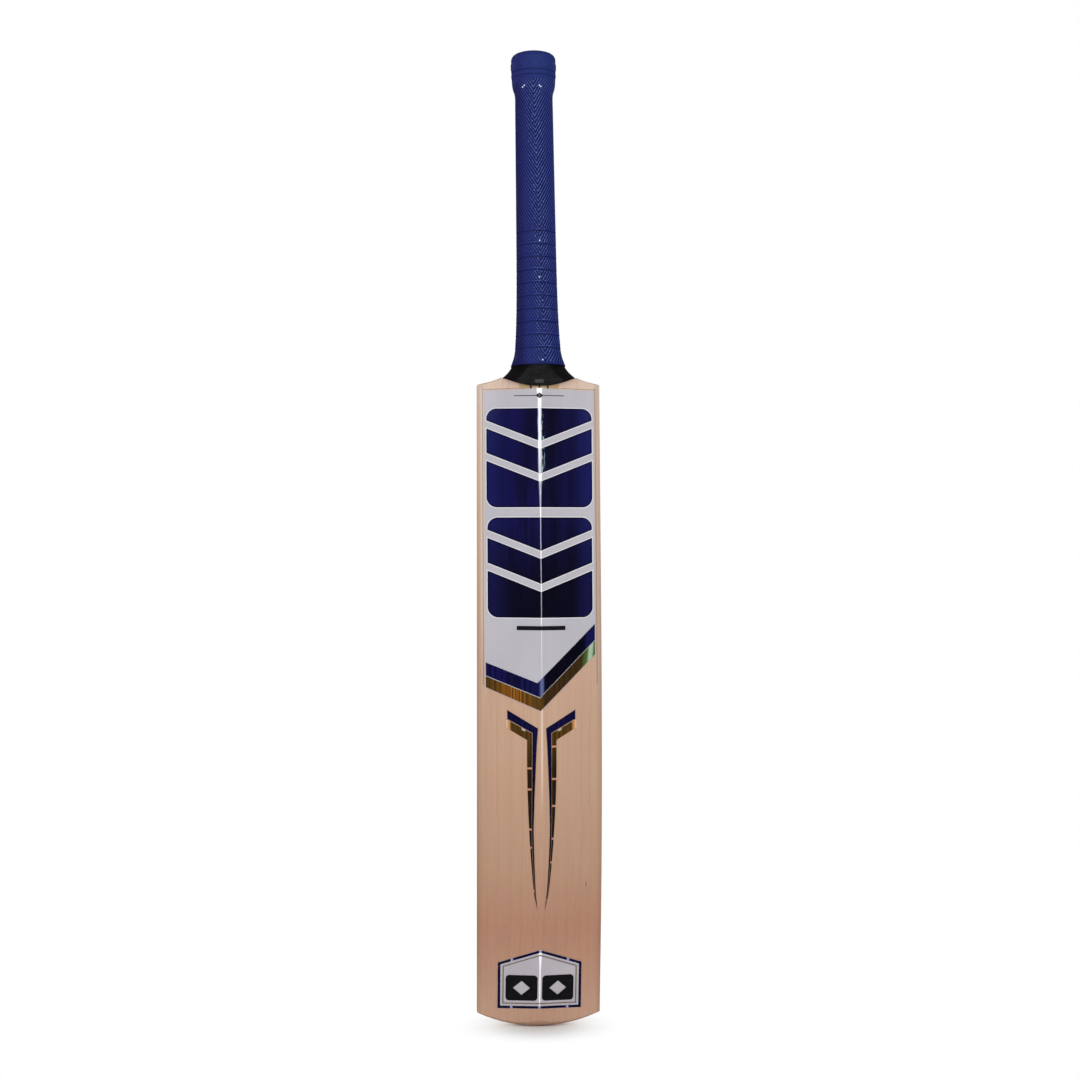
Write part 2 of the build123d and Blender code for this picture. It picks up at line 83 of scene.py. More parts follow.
# distance along the handle, half width in x, half depth in y
STATIONS = np.array([
    (-12.5, 44.0, 15.1), (-7.5, 40.5, 15.1), (-4.5, 38.0, 15.1), (-1.5, 35.2, 15.1),
    (0.5, 33.0, 15.1), (2.5, 30.7, 15.1), (4.5, 28.4, 15.1), (7.0, 25.9, 15.1),
    (10.0, 23.6, 15.1), (13.5, 21.4, 15.1), (17.5, 19.6, 15.0), (22.5, 17.9, 14.9),
    (28.5, 16.8, 14.8), (36.5, 16.1, 14.7), (48.0, 15.5, 14.6), (65.0, 14.9, 14.4),
    (88.0, 14.45, 14.2), (120.0, 14.15, 14.05), (302.0, 13.05, 12.99),
])
CORNER_INSET = 0.25  # the corner radius is this much under the smaller half size

# distance of each layer's surface outside the handle
TWINE_INNER_PAD, TWINE_PAD = 0.05, 1.15
GRIP_INNER_PAD, GRIP_PAD = 1.25, 3.25


def monotone_cubic(x, knots, values):
    """Monotone cubic interpolation, held level beyond both ends."""
    x = np.asarray(x, float)
    gap = np.diff(knots)
    rate = np.diff(values) / gap
    slope = np.zeros(len(knots))
    slope[0], slope[-1] = rate[0], rate[-1]
    for i in range(1, len(knots) - 1):
        if rate[i - 1] * rate[i] > 0:
            before, after = 2 * gap[i] + gap[i - 1], gap[i] + 2 * gap[i - 1]
            slope[i] = (before + after) / (before / rate[i - 1] + after / rate[i])
    i = np.clip(np.searchsorted(knots, x) - 1, 0, len(knots) - 2)
    t = np.clip((x - knots[i]) / gap[i], 0, 1)
    return (
        (1 + 2 * t) * (1 - t) ** 2 * values[i]
        + t * (1 - t) ** 2 * gap[i] * slope[i]
        + t * t * (3 - 2 * t) * values[i + 1]
        + t * t * (t - 1) * gap[i] * slope[i + 1]
    )


def handle_radius(angle, along, pad):
    """Distance from the handle's axis to its rounded-rectangle surface, grown by pad."""
    half_x = monotone_cubic(along, STATIONS[:, 0], STATIONS[:, 1]) + pad
    half_y = monotone_cubic(along, STATIONS[:, 0], STATIONS[:, 2]) + pad
    corner = np.minimum(half_x, half_y) - CORNER_INSET
    cos, sin = np.abs(np.cos(angle)), np.abs(np.sin(angle))
    corner_x, corner_y = half_x - corner, half_y - corner
    reach = cos * corner_x + sin * corner_y
    inside = reach * reach - corner_x * corner_x - corner_y * corner_y + corner * corner
    to_arc = reach + np.sqrt(np.maximum(inside, 0))
    to_flat = half_y / np.maximum(sin, 1e-9)
    to_side = half_x / np.maximum(cos, 1e-9)
    return np.where(
        to_flat * cos <= corner_x,
        to_flat,
        np.where(to_side * sin <= corner_y, to_side, to_arc),
    )


def handle_points(angle, along, radius):
    """Points in metres from polar places around the handle's axis."""
    x, y = radius * np.cos(angle), radius * np.sin(angle)
    points = (
        HANDLE_ORIGIN
        + x[..., None] * HANDLE_X
        + y[..., None] * HANDLE_Y
        + np.broadcast_to(along, x.shape)[..., None] * HANDLE_Z
    )
    return points * MM


def ring_angles(columns):
    """Angles around the handle, starting at the middle of the back."""
    return np.arange(columns) / columns * 2 * math.pi - math.pi / 2


def ring_mesh(name, grid, relief):
    """A closed shell from rows of rings; the last row joins the first.

    relief covers the first rows and is 0 on the rest.
    """
    rows, columns = grid.shape[:2]
    i = np.arange(rows)[:, None]
    j = np.arange(columns)[None, :]
    next_i, next_j = (i + 1) % rows, (j + 1) % columns
    quads = np.stack([
        i * columns + j, i * columns + next_j, next_i * columns + next_j, next_i * columns + j,
    ], axis=-1).reshape(-1, 4)
    count = len(quads)
    mesh = bpy.data.meshes.new(name)
    mesh.vertices.add(rows * columns)
    mesh.vertices.foreach_set("co", grid.reshape(-1).astype(np.float32))
    mesh.loops.add(count * 4)
    mesh.loops.foreach_set("vertex_index", quads.ravel().astype(np.int32))
    mesh.polygons.add(count)
    mesh.polygons.foreach_set("loop_start", np.arange(0, count * 4, 4, dtype=np.int32))
    mesh.polygons.foreach_set("loop_total", np.full(count, 4, dtype=np.int32))
    mesh.polygons.foreach_set("use_smooth", np.full(count, True))
    mesh.update(calc_edges=True)
    mesh.validate()
    full = np.zeros((rows, columns), np.float32)
    full[: len(relief)] = relief
    mesh.attributes.new("relief", "FLOAT", "POINT").data.foreach_set("value", full.ravel())
    shell = bpy.data.objects.new(name, mesh)
    bpy.context.scene.collection.objects.link(shell)
    return shell


def smooth01(x):
    x = np.clip(x, 0, 1)
    return x * x * (3 - 2 * x)


def bell(offset, width, power=2):
    return np.exp(-((offset / width) ** power))


# --------------------------------------------------------------------------
# grip: rubber sleeve with chevron ribs, step rings and a ringed collar
# --------------------------------------------------------------------------
GRIP_LOW = 12.5
LIP = 0.9  # height of the rounded lower lip
RIBS = 44  # around the handle
RIB_PITCH = 4.25  # along the handle
COLLAR_START = 250.0
# distance along the handle, outer radius
COLLAR = np.array([
    (COLLAR_START, 16.55), (253.5, 16.6), (257.0, 16.85), (260.2, 17.75), (263.0, 18.6),
    (265.6, 18.95), (275.0, 19.8), (288.3, 19.8),
])
STEP_RINGS = [132.2 - 11.52 * k for k in range(10)]
COLLAR_GROOVES = (271.3, 275.9)
LOZENGES = 12
# radius, distance along the handle: over the rounded end and into the opening
GRIP_END = [
    (19.62, 289.4), (19.15, 290.5), (18.35, 291.6), (17.2, 292.5), (15.8, 293.1),
    (14.3, 293.38), (12.9, 293.42), (11.8, 293.3), (11.15, 292.9), (10.85, 292.2),
    (10.8, 291.3), (10.8, 290.5), (11.0, 290.15),
]
# distance along the handle, added radius: down the bore
GRIP_BORE = [
    (290.12, -0.4),
    *((along, 0.0) for along in (
        289.6, 270.0, 240.0, 200.0, 160.0, 120.0, 90.0, 68.0, 52.0,
        41.0, 33.0, 27.0, 22.0, 18.0, 14.0, 13.0,
    )),
    (12.65, 0.25),
]


def grip_base(angle, along):
    """Radius of the sleeve without its ribs: the handle's section, then the round collar."""
    thinner = 0.8 * np.clip((32.0 - along) / 19.0, 0, 1)
    shaft = handle_radius(angle, along, GRIP_PAD - thinner)
    collar = monotone_cubic(np.maximum(along, COLLAR_START), COLLAR[:, 0], COLLAR[:, 1])
    blend = smooth01((along - 244.0) / 8.0)
    base = np.where(along < COLLAR_START, shaft * (1 - blend) + collar * blend, collar)
    lip = np.clip((along - GRIP_LOW) / LIP, 0, 1)
    return base - 0.75 * (1 - np.sqrt(1 - (1 - lip) ** 2))


def grip_pattern(angle, along):
    """Height of the moulded pattern, and the softer painted light and shade the material lays
    over it.
    """
    # chevron ribs: a V on the back, meeting again on the face, slowly twisting
    twist = np.radians(-5.0 + 22.0 * (along - 270.0) / (17.0 - 270.0))
    around = (angle - twist + math.pi / 2 + math.pi) % (2 * math.pi) - math.pi
    phase = np.abs(around) / (2 * math.pi) * RIBS - along / RIB_PITCH
    rib = (0.5 + 0.5 * np.cos(2 * math.pi * phase)) ** 1.3
    ribbed = smooth01((along - GRIP_LOW - 1.2) / 1.5) * smooth01((268.6 - along) / 1.2)
    height = (0.30 * rib - 0.10) * ribbed
    painted_shading = height
    # each step ring calms the ribs, stands proud and has a groove below it
    for ring in STEP_RINGS:
        offset = along - ring
        height = height * (1 - 0.85 * bell(offset + 0.2, 1.5))
        height += 0.28 * bell(offset, 0.62) - 0.16 * bell(offset + 1.35, 0.55)
        # painted highlight on the ring and painted shade in the groove below it
        painted_shading = painted_shading * (1 - bell(offset + 0.3, 1.3))
        painted_shading += 0.15 * bell(offset, 0.5) - 0.10 * bell(offset + 1.2, 0.5)
    for groove in COLLAR_GROOVES:
        cut = bell(along - groove, 0.62)
        height -= 0.32 * cut
        # painted shade in the groove
        painted_shading -= 0.08 * cut
    # a low flat band between the grooves
    height += 0.10 * bell(along - 273.6, 1.6, power=4)
    # raised lozenge outlines around the collar
    across = ((angle - math.pi / 2) / (2 * math.pi) * LOZENGES + 0.5) % 1.0 - 0.5
    across = across * (2 * math.pi * COLLAR[-1, 1] / LOZENGES)
    depth = 1.0 - np.abs(across) / 3.7 - np.abs(along - 282.0) / 3.2
    outline = smooth01(depth / 0.16) - 0.9 * smooth01((depth - 0.38) / 0.16)
    height += 0.42 * outline * (along > 276.8)
    # painted highlight on the raised outlines
    painted_shading += 0.13 * outline * (along > 276.8)
    return height, painted_shading


def build_grip():
    ring = ring_angles(RIBS * 5)
    rows = np.concatenate([
        [GRIP_LOW, GRIP_LOW + 0.12, GRIP_LOW + 0.45],
        np.arange(GRIP_LOW + LIP, 251.0, 0.62),
        np.arange(251.0, 268.0, 0.6),
        np.arange(268.0, 288.4, 0.45),
    ])
    along, angle = np.meshgrid(rows, ring, indexing="ij")
    height, painted_shading = grip_pattern(angle, along)
    outer = handle_points(angle, along, grip_base(angle, along) + height)
    end = [handle_points(ring, at, radius) for radius, at in GRIP_END]
    bore = [
        handle_points(ring, at, handle_radius(ring, at, GRIP_INNER_PAD) + extra)
        for at, extra in GRIP_BORE
    ]
    grid = np.concatenate([outer, np.array(end), np.array(bore)], axis=0)
    end_relief = np.full((len(end), len(ring)), 0.5)
    return ring_mesh("grip_sleeve", grid, np.concatenate([0.5 + painted_shading * 2.0, end_relief]))


# --------------------------------------------------------------------------
# binding: close turns of lacquered twine, its lower edge following the
# shallow scoop between the shoulders
# --------------------------------------------------------------------------
SCOOP_HALF, SCOOP_DEPTH, SCOOP_LOW = 33.0, 8.0, 560.6
TWINE_PITCH, ROWS_PER_TURN = 1.12, 4
LEVEL_START = 9.5  # the turns are level from here up
SLOPED_TURNS = 13  # squeezed between the scoop and LEVEL_START
TWINE_TOP = 286.4
# distance along the handle, pad: the top edge
TWINE_END = [(286.8, 0.75), (286.95, 0.3)]
# distances along the handle: down the bore
TWINE_BORE = (286.6, 245.0, 205.0, 160.0, 120.0, 90.0, 68.0, 52.0, 41.0, 33.0, 27.0,
              22.0, 18.0, 13.5, 10.0)


def scoop_height(x):
    radius = (SCOOP_HALF ** 2 + SCOOP_DEPTH ** 2) / (2 * SCOOP_DEPTH)
    return SCOOP_LOW + radius - np.sqrt(np.maximum(radius ** 2 - x * x, 0))


def twine_lower_edge(ring):
    """Where each column of the binding meets the scoop, found by bisection."""
    low, high = np.full(len(ring), -14.0), np.full(len(ring), LEVEL_START)
    for _ in range(40):
        middle = (low + high) / 2
        radius = handle_radius(ring, middle, TWINE_PAD)
        x, y = radius * np.cos(ring), radius * np.sin(ring)
        z = HANDLE_ORIGIN[2] + middle * HANDLE_Z[2] + y * HANDLE_Y[2] + x * HANDLE_X[2]
        above = z > scoop_height(np.clip(x, -40, 40)) + 0.06
        high = np.where(above, middle, high)
        low = np.where(above, low, middle)
    return high


def build_twine():
    ring = ring_angles(96)
    edge = twine_lower_edge(ring)
    rows, turns = [], []
    for part in np.linspace(0, 1, SLOPED_TURNS * ROWS_PER_TURN + 1)[:-1]:
        rows.append(edge + (LEVEL_START - edge) * part)
        turns.append(part * SLOPED_TURNS)
    level, turn = LEVEL_START, float(SLOPED_TURNS)
    while level <= TWINE_TOP:
        rows.append(np.full(len(ring), level))
        turns.append(turn)
        level += TWINE_PITCH / ROWS_PER_TURN
        turn += 1.0 / ROWS_PER_TURN
    along = np.array(rows)
    phase = np.array(turns)[:, None] + 0 * along
    angle = np.broadcast_to(ring, along.shape)
    spacing = np.gradient(along, axis=0) * ROWS_PER_TURN
    swell = np.clip(spacing, 0.3, 1.2) * 0.17
    # the turns are uneven, as hand-wound twine is
    rng = np.random.default_rng(7)
    turn_index = np.floor(phase).astype(int)
    uneven = rng.uniform(0.75, 1.1, turn_index.max() + 2)[turn_index]
    relief = np.abs(np.sin(math.pi * phase)) ** 0.8
    radius = handle_radius(angle, along, TWINE_PAD) + swell * uneven * relief - swell * 0.9
    outer = handle_points(angle, along, radius)
    closing = TWINE_END + [(at, TWINE_INNER_PAD) for at in TWINE_BORE]
    for part in (0.85, 0.6, 0.35, 0.15, 0.02):
        closing.append((edge + (LEVEL_START - edge) * part, TWINE_INNER_PAD))
    inner = [handle_points(ring, at, handle_radius(ring, at, pad)) for at, pad in closing]
    return ring_mesh("binding_twine", np.concatenate([outer, np.array(inner)], axis=0), relief)


grip = build_grip()
twine = build_twine()


# --------------------------------------------------------------------------
# material kit: a small expression builder over shader nodes
# --------------------------------------------------------------------------
def linear(channel):
    channel = channel / 255.0
    return channel / 12.92 if channel <= 0.04045 else ((channel + 0.055) / 1.055) ** 2.4


def rgb(red, green, blue):
    """A screen colour as the linear colour a shader takes."""
    return (linear(red), linear(green), linear(blue), 1.0)


def operation(name, reverse=False):
    """A method that makes one Math node."""
    def apply(self, *others):
        values = (*others, self) if reverse else (self, *others)
        node = self.material.node("Math")
        node.operation = name
        for socket, value in zip(node.inputs, values):
            self.material.put(socket, value)
        return Value(self.material, node.outputs[0])
    return apply


class Value:
    """A number or colour flowing through a material's nodes."""

    def __init__(self, material, socket):
        self.material = material
        self.socket = socket

    __add__ = operation("ADD")
    __sub__ = operation("SUBTRACT")
    __rsub__ = operation("SUBTRACT", reverse=True)
    __mul__ = operation("MULTIPLY")
    __truediv__ = operation("DIVIDE")
    abs = operation("ABSOLUTE")
    sqrt = operation("SQRT")
    fract = operation("FRACT")
    min = operation("MINIMUM")
    max = operation("MAXIMUM")

    def blend(self, start, end, first, last):
        """Smoothly from first, where this is start, to last, where it is end."""
        node = self.material.node("MapRange")
        node.interpolation_type = "SMOOTHSTEP"
        self.material.put(node.inputs["Value"], self)
        settings = {"From Min": start, "From Max": end, "To Min": first, "To Max": last}
        for key, value in settings.items():
            self.material.put(node.inputs[key], value)
        return Value(self.material, node.outputs["Result"])

    def rise(self, zero_at, one_at):
        return self.blend(zero_at, one_at, 0.0, 1.0)

    def fall(self, one_at, zero_at):
        return self.blend(one_at, zero_at, 1.0, 0.0)

    def near(self, at, half, soft):
        """1 within half of at, falling to 0 over soft."""
        return (self - at).abs().fall(half, half + soft)


class Material:
    """One procedural material in object coordinates; its colour is built up in layers."""

    def __init__(self, name):
        self.data = bpy.data.materials.new(name)
        self.data.use_nodes = True
        self.tree = self.data.node_tree
        self.tree.nodes.clear()
        self.output = self.node("OutputMaterial")
        self.surface = self.node("BsdfPrincipled")
        self.tree.links.new(self.surface.outputs[0], self.output.inputs[0])
        place = self.node("TexCoord")
        split = self.node("SeparateXYZ")
        self.tree.links.new(place.outputs["Object"], split.inputs[0])
        self.x, self.y, self.z = (Value(self, split.outputs[i]) * 1000.0 for i in range(3))
        self.colour = None

    def node(self, kind):
        return self.tree.nodes.new("ShaderNode" + kind)

    def put(self, socket, value):
        if isinstance(value, Value):
            self.tree.links.new(value.socket, socket)
        elif isinstance(value, tuple):
            socket.default_value = value
        else:
            socket.default_value = float(value)

    def vector(self, x, y, z):
        node = self.node("CombineXYZ")
        for socket, value in zip(node.inputs, (x, y, z)):
            self.put(socket, value)
        return node.outputs[0]

    def noise(self, x, y, z, detail=2.0, rough=0.5):
        node = self.node("TexNoise")
        node.inputs["Scale"].default_value = 1.0
        node.inputs["Detail"].default_value = detail
        node.inputs["Roughness"].default_value = rough
        self.tree.links.new(self.vector(x, y, z), node.inputs["Vector"])
        return Value(self, node.outputs[0])

    def grain(self, x=0.0, y=0.0, z=0.0, detail=2.0, rough=0.5):
        """Noise with its scale per mm along each axis; it is constant along one left at 0."""
        axes = ((self.x, x), (self.y, y), (self.z, z))
        place = [axis * scale if scale else 0.0 for axis, scale in axes]
        return self.noise(*place, detail, rough)

    def relief(self):
        """The relief stored on the grip and twine meshes."""
        node = self.node("Attribute")
        node.attribute_name = "relief"
        return Value(self, node.outputs["Fac"])

    def cells(self, x, y, z):
        node = self.node("TexVoronoi")
        node.inputs["Scale"].default_value = 1.0
        self.tree.links.new(self.vector(x, y, z), node.inputs["Vector"])
        return Value(self, node.outputs["Distance"])

    def mix(self, mask, under, over):
        node = self.node("Mix")
        node.data_type = "RGBA"
        node.clamp_factor = True
        for index, value in ((0, mask), (6, under), (7, over)):
            self.put(node.inputs[index], value)
        return Value(self, node.outputs[2])

    def shade(self, colour, factor):
        """A colour multiplied by a number."""
        node = self.node("Mix")
        node.data_type = "RGBA"
        node.blend_type = "MULTIPLY"
        node.inputs[0].default_value = 1.0
        grey = self.node("CombineColor")
        for i in range(3):
            self.put(grey.inputs[i], factor)
        self.put(node.inputs[6], colour)
        self.tree.links.new(grey.outputs[0], node.inputs[7])
        return Value(self, node.outputs[2])

    def tint(self, over, mask, amount=None):
        """Lay a colour over the material's colour."""
        if amount is not None:
            mask = mask * amount
        self.colour = self.mix(mask, self.colour, over)

    def vary(self, noise, amount):
        """Lighten and darken the material's colour by a noise."""
        self.colour = self.shade(self.colour, (noise - 0.5) * amount + 1.0)

    def ramp(self, value, stops):
        node = self.node("ValToRGB")
        low, high = stops[0][0], stops[-1][0]
        elements = node.color_ramp.elements
        while len(elements) < len(stops):
            elements.new(0.5)
        for element, (place, colour) in zip(elements, stops):
            element.position = (place - low) / (high - low)
            element.color = colour
        self.put(node.inputs[0], (value - low) / (high - low))
        return Value(self, node.outputs[0])

    def bump(self, height, strength, distance):
        """distance is in metres."""
        node = self.node("Bump")
        node.inputs["Strength"].default_value = strength
        node.inputs["Distance"].default_value = distance
        self.put(node.inputs["Height"], height)
        self.tree.links.new(node.outputs[0], self.surface.inputs["Normal"])

    def finish(self, **settings):
        """Connect the colour and set the surface's other values."""
        names = {
            "rough": "Roughness", "metal": "Metallic", "spec": "Specular IOR Level",
            "coat": "Coat Weight", "coat_rough": "Coat Roughness",
        }
        self.put(self.surface.inputs["Base Color"], self.colour)
        for key, value in settings.items():
            self.put(self.surface.inputs[names[key]], value)

    def on(self, *objects):
        for thing in objects:
            thing.data.materials.clear()
            thing.data.materials.append(self.data)


# --------------------------------------------------------------------------
# wood, cane, rubber and twine
# --------------------------------------------------------------------------
# height, colour: from the toe to the shoulders; the colours are the wood's tone with painted
# light and shade along the blade mixed in
WILLOW_TONES = [
    (0.0, rgb(184, 147, 124)), (50.0, rgb(173, 131, 107)), (90.0, rgb(169, 123, 99)),
    (150.0, rgb(177, 139, 114)), (240.0, rgb(186, 151, 126)), (340.0, rgb(191, 157, 134)),
    (450.0, rgb(198, 165, 139)), (530.0, rgb(204, 177, 157)), (570.0, rgb(206, 182, 165)),
]


def willow():
    mat = Material("willow")
    x, y, z = mat.x, mat.y, mat.z
    mat.colour = mat.ramp(z, WILLOW_TONES)
    # growth rings run from back to face, wandering a little in x
    across = x + (mat.grain(x=0.012, y=0.012, z=0.0045, detail=1) - 0.5) * 9.0
    ring = (across * 0.098 + mat.noise(across * 0.05, 0.0, 3.0, detail=1) * 1.2).fract()
    late = ring.rise(0.62, 0.93) * ring.fall(0.93, 1.0)
    strand = mat.noise(across * 0.9, y * 0.22, z * 0.006, detail=3, rough=0.6)
    pores = mat.grain(x=5.0, y=5.0, z=0.09, rough=0.6)
    cloud = mat.grain(x=0.02, y=0.02, z=0.009)
    mat.tint(mat.shade(mat.colour, 0.80), late, amount=0.20)
    mat.vary(strand, amount=0.26)
    mat.vary(pores, amount=0.17)
    warmer = mat.mix(0.5, mat.colour, rgb(186, 132, 104))
    mat.tint(warmer, cloud.rise(0.45, 0.75), amount=0.35)
    # short darker flecks along the grain
    fleck = mat.grain(x=0.9, y=0.9, z=0.09, detail=1).rise(0.70, 0.80)
    mat.tint(rgb(128, 88, 62), fleck, amount=0.20)
    # one dark upright oval near the right edge of the back
    from_x, from_z = x - 39.5, z - 128.0
    spot = (from_x * from_x / 0.40 + from_z * from_z / 8.0).fall(0.3, 1.5)
    mat.tint(rgb(92, 70, 50), spot * y.rise(8.0, 0.0), amount=0.6)
    # end grain on the toe
    speck_and_glint = mat.grain(x=1.6, y=1.6, rough=0.7).rise(0.45, 0.75)
    mat.tint(mat.shade(mat.colour, 0.72), z.rise(3.5, 0.5) * speck_and_glint, amount=0.45)
    # the line of the ridge catches the light
    crest = x.abs().rise(1.4, 0.2) * z.near(258.0, half=16.0, soft=60.0) * y.rise(0.0, -8.0)
    mat.tint(rgb(238, 218, 206), crest, amount=0.5)
    # the wood beside the label is paler on the left, a painted highlight on its rounded edge,
    # and greyer on the right
    back = y.rise(9.0, 4.0)
    beside = x.abs().rise(45.5, 47.5) * x.abs().rise(52.6, 50.2)
    margin = beside * back * z.rise(250.0, 400.0) * z.rise(561.0, 557.0)
    mat.tint(rgb(216, 206, 199), margin * x.rise(0.0, -1.0), amount=0.55)
    mat.tint(rgb(181, 170, 162), margin * x.rise(0.0, 1.0), amount=0.55)
    # a thin line just outside the label, at its sides and top
    side = x.abs().near(49.3, half=0.30, soft=0.25) * z.rise(300.0, 302.0)
    side = side * z.rise(559.8, 558.8)
    top = (z + x.abs() * 0.0417 - 559.9).abs().fall(0.25, 0.5) * x.abs().rise(49.6, 49.2)
    mat.tint(rgb(120, 88, 68), side.max(top) * back, amount=0.55)
    mat.finish(rough=0.46, spec=0.35, coat=0.12, coat_rough=0.3)
    height = (strand - 0.5) * 0.6 + (pores - 0.5) * 0.8
    mat.bump(height, strength=0.35, distance=0.00012)
    return mat


def cane():
    mat = Material("cane")
    fibre = mat.grain(x=3.2, y=3.2, z=0.05, detail=3, rough=0.65)
    dots = mat.cells(mat.x * 1.9, mat.y * 1.9, mat.z * 0.02)
    mat.colour = mat.mix(fibre.rise(0.35, 0.7), rgb(196, 172, 132), rgb(158, 130, 94))
    # only the second, softer dot shape counts; the first has weight 0
    dot = dots.fall(0.26, 0.12) * 0.0 + dots.blend(0.16, 0.30, first=0.55, last=0.0)
    mat.tint(rgb(108, 72, 40), dot)
    mat.finish(rough=0.55, spec=0.3)
    mat.bump(fibre, strength=0.4, distance=0.0002)
    return mat


def spring_rubber():
    mat = Material("spring_rubber")
    mottle = mat.grain(x=2.0, y=2.0, z=2.0, detail=3)
    mat.colour = mat.mix(mottle, rgb(26, 26, 28), rgb(44, 43, 44))
    mat.finish(rough=0.62, spec=0.3)
    mat.bump(mottle, strength=0.3, distance=0.0001)
    return mat


def twine_finish():
    mat = Material("lacquered_twine")
    x, y, z = mat.x, mat.y, mat.z
    mottle = mat.grain(x=0.5, y=0.5, z=2.2, detail=3)
    red = mat.grain(x=0.08, y=0.08, z=1.2).rise(0.55, 0.75)
    mat.colour = mat.mix(mottle, rgb(5, 5, 7), rgb(13, 12, 15))
    mat.tint(rgb(52, 24, 22), red, amount=0.35)
    # painted shade between the turns
    mat.tint(rgb(3, 3, 4), mat.relief().rise(0.6, 0.1), amount=0.7)
    # a short pale painted highlight low on the back, at the ridge
    ridge_highlight = x.abs().rise(4.4, 3.2) * z.near(565.0, half=1.1, soft=0.8) * y.rise(0.0, -6.0)
    mat.tint(rgb(84, 78, 76), ridge_highlight, amount=0.55)
    mat.finish(rough=0.42, spec=0.16, coat=0.10, coat_rough=0.2)
    return mat


# x, z of painted glints, bright specks on the grip's back
GRIP_GLINTS = (
    (-13.4, 826.4), (-12.0, 827.6), (2.6, 826.6), (1.3, 827.5), (0.9, 689.0),
    (0.5, 656.6), (2.9, 583.6),
)


def grip_finish():
    mat = Material("grip_rubber")
    x, y, z = mat.x, mat.y, mat.z
    along = (y - HANDLE_ORIGIN[1]) * HANDLE_Z[1] + (z - HANDLE_ORIGIN[2]) * HANDLE_Z[2]
    mottle = mat.grain(x=0.35, y=0.35, z=0.35, detail=3)
    fine = mat.grain(x=4.0, y=4.0, z=4.0)
    mat.colour = mat.mix(along.rise(245.0, 285.0), rgb(23, 35, 98), rgb(31, 46, 106))
    mat.tint(rgb(40, 32, 98), x.rise(-4.0, -17.0), amount=0.45)
    # painted shade in the hollows and painted highlights on the crests
    relief = mat.relief()
    mat.tint(rgb(6, 8, 28), relief.rise(0.46, 0.30), amount=0.78)
    mat.tint(rgb(86, 104, 190), relief.rise(0.66, 0.95), amount=0.50)
    # painted glints on the ribs along the line where the chevrons meet on the back, with
    # painted shade in the hollows there
    meeting = x + along * 0.0105 + (along - 17.0) * 0.0261 - 5.3
    band = meeting.abs().fall(3.5, 10.0) * y.rise(24.0, 18.0) * along.rise(268.0, 264.0)
    rib_glint = relief.rise(0.52, 0.80) * mat.noise(x * 0.85, 7.0, z * 0.85, 1).rise(0.50, 0.62)
    patches = mat.noise(x * 0.12, 4.0, z * 0.12, detail=1)
    rib_glint = rib_glint * patches.blend(0.30, 0.62, first=0.35, last=1.0)
    mat.tint(rgb(140, 150, 214), band * rib_glint, amount=0.46)
    mat.tint(rgb(6, 8, 32), band * relief.rise(0.56, 0.40), amount=0.45)
    # a painted glint at each listed point
    for glint_x, glint_z in GRIP_GLINTS:
        from_x, from_z = x - glint_x, z - glint_z
        speck_and_glint = (from_x * from_x + from_z * from_z).fall(0.14, 0.60)
        mat.tint(rgb(214, 222, 246), speck_and_glint * y.rise(24.0, 18.0), amount=0.9)
    # the left side turns away from the light
    left = (x + along * 0.0105).rise(-9.5, -15.5) * along.rise(268.0, 262.0)
    mat.tint(rgb(12, 12, 40), left, amount=0.40)
    mat.vary(mottle, amount=0.22)
    mat.vary(fine, amount=0.18)
    mat.finish(rough=0.48, spec=0.16, coat=0.03, coat_rough=0.3)
    mat.bump(fine, strength=0.25, distance=0.00008)
    return mat


# --------------------------------------------------------------------------
# label, flashes and badge
# --------------------------------------------------------------------------
PANELS = ((46.2, 454.6, 541.2), (45.6, 359.3, 445.8))  # half width, low z, high z
PANEL_CORNER = 9.0
CHEVRON_DROPS = (29.0, 57.5)  # below each panel's top


def panel_distance(mat, half, low, high):
    """Distance outside a rounded panel of the label."""
    beyond_x = mat.x.abs() - (half - PANEL_CORNER)
    beyond_z = (mat.z - (low + high) / 2).abs() - ((high - low) / 2 - PANEL_CORNER)
    out_x, out_z = beyond_x.max(0.0), beyond_z.max(0.0)
    outside = (out_x * out_x + out_z * out_z).sqrt()
    return outside + beyond_x.max(beyond_z).min(0.0) - PANEL_CORNER


def block_distance(mat):
    """Distance outside the nearest foil block: panels cut by two chevrons each."""
    blocks = []
    for half, low, high in PANELS:
        distance = panel_distance(mat, half, low, high)
        for drop in CHEVRON_DROPS:
            chevron = mat.z - mat.x.abs() * 0.4 - (high - drop - 3.45)
            distance = distance.max(chevron.abs() * -0.928 + 3.2)
        blocks.append(distance)
    return blocks[0].min(blocks[1])


def ridge_light(mat):
    """The bright line the ridge catches, wide at the label's top and thin below."""
    wander = (mat.noise(3.0, 0.0, mat.z * 0.09) - 0.5) * 1.3
    half = mat.z.blend(440.0, 490.0, first=0.42, last=1.75)
    half = half + mat.z.blend(548.0, 560.0, first=0.0, last=1.1)
    return ((mat.x + wander * mat.z.rise(450.0, 500.0)).abs() / half).fall(0.55, 1.15)


def reflection_streaks(mat, pitch):
    """Long upright streaks of painted reflection on the foils; a higher pitch makes them
    narrower.
    """
    return mat.grain(x=pitch, z=0.004, detail=3, rough=0.65)


def label_white():
    mat = Material("label_film")
    distance = block_distance(mat)
    edge = distance.rise(-0.2, 0.05) * distance.fall(0.55, 0.95)
    mat.colour = mat.mix(mat.grain(x=0.03, z=0.012), rgb(170, 167, 175), rgb(187, 184, 191))
    mat.vary(mat.grain(x=0.8, z=0.01), amount=0.10)
    mat.tint(rgb(226, 226, 232), edge, amount=0.8)
    light = ridge_light(mat) * mat.z.blend(352.0, 356.0, first=0.35, last=1.0)
    mat.tint(rgb(252, 252, 254), light)
    mat.finish(rough=0.34, spec=0.5, coat=0.7, coat_rough=0.06)
    mat.bump(mat.grain(x=0.10, z=0.035), strength=0.4, distance=0.0006)
    return mat


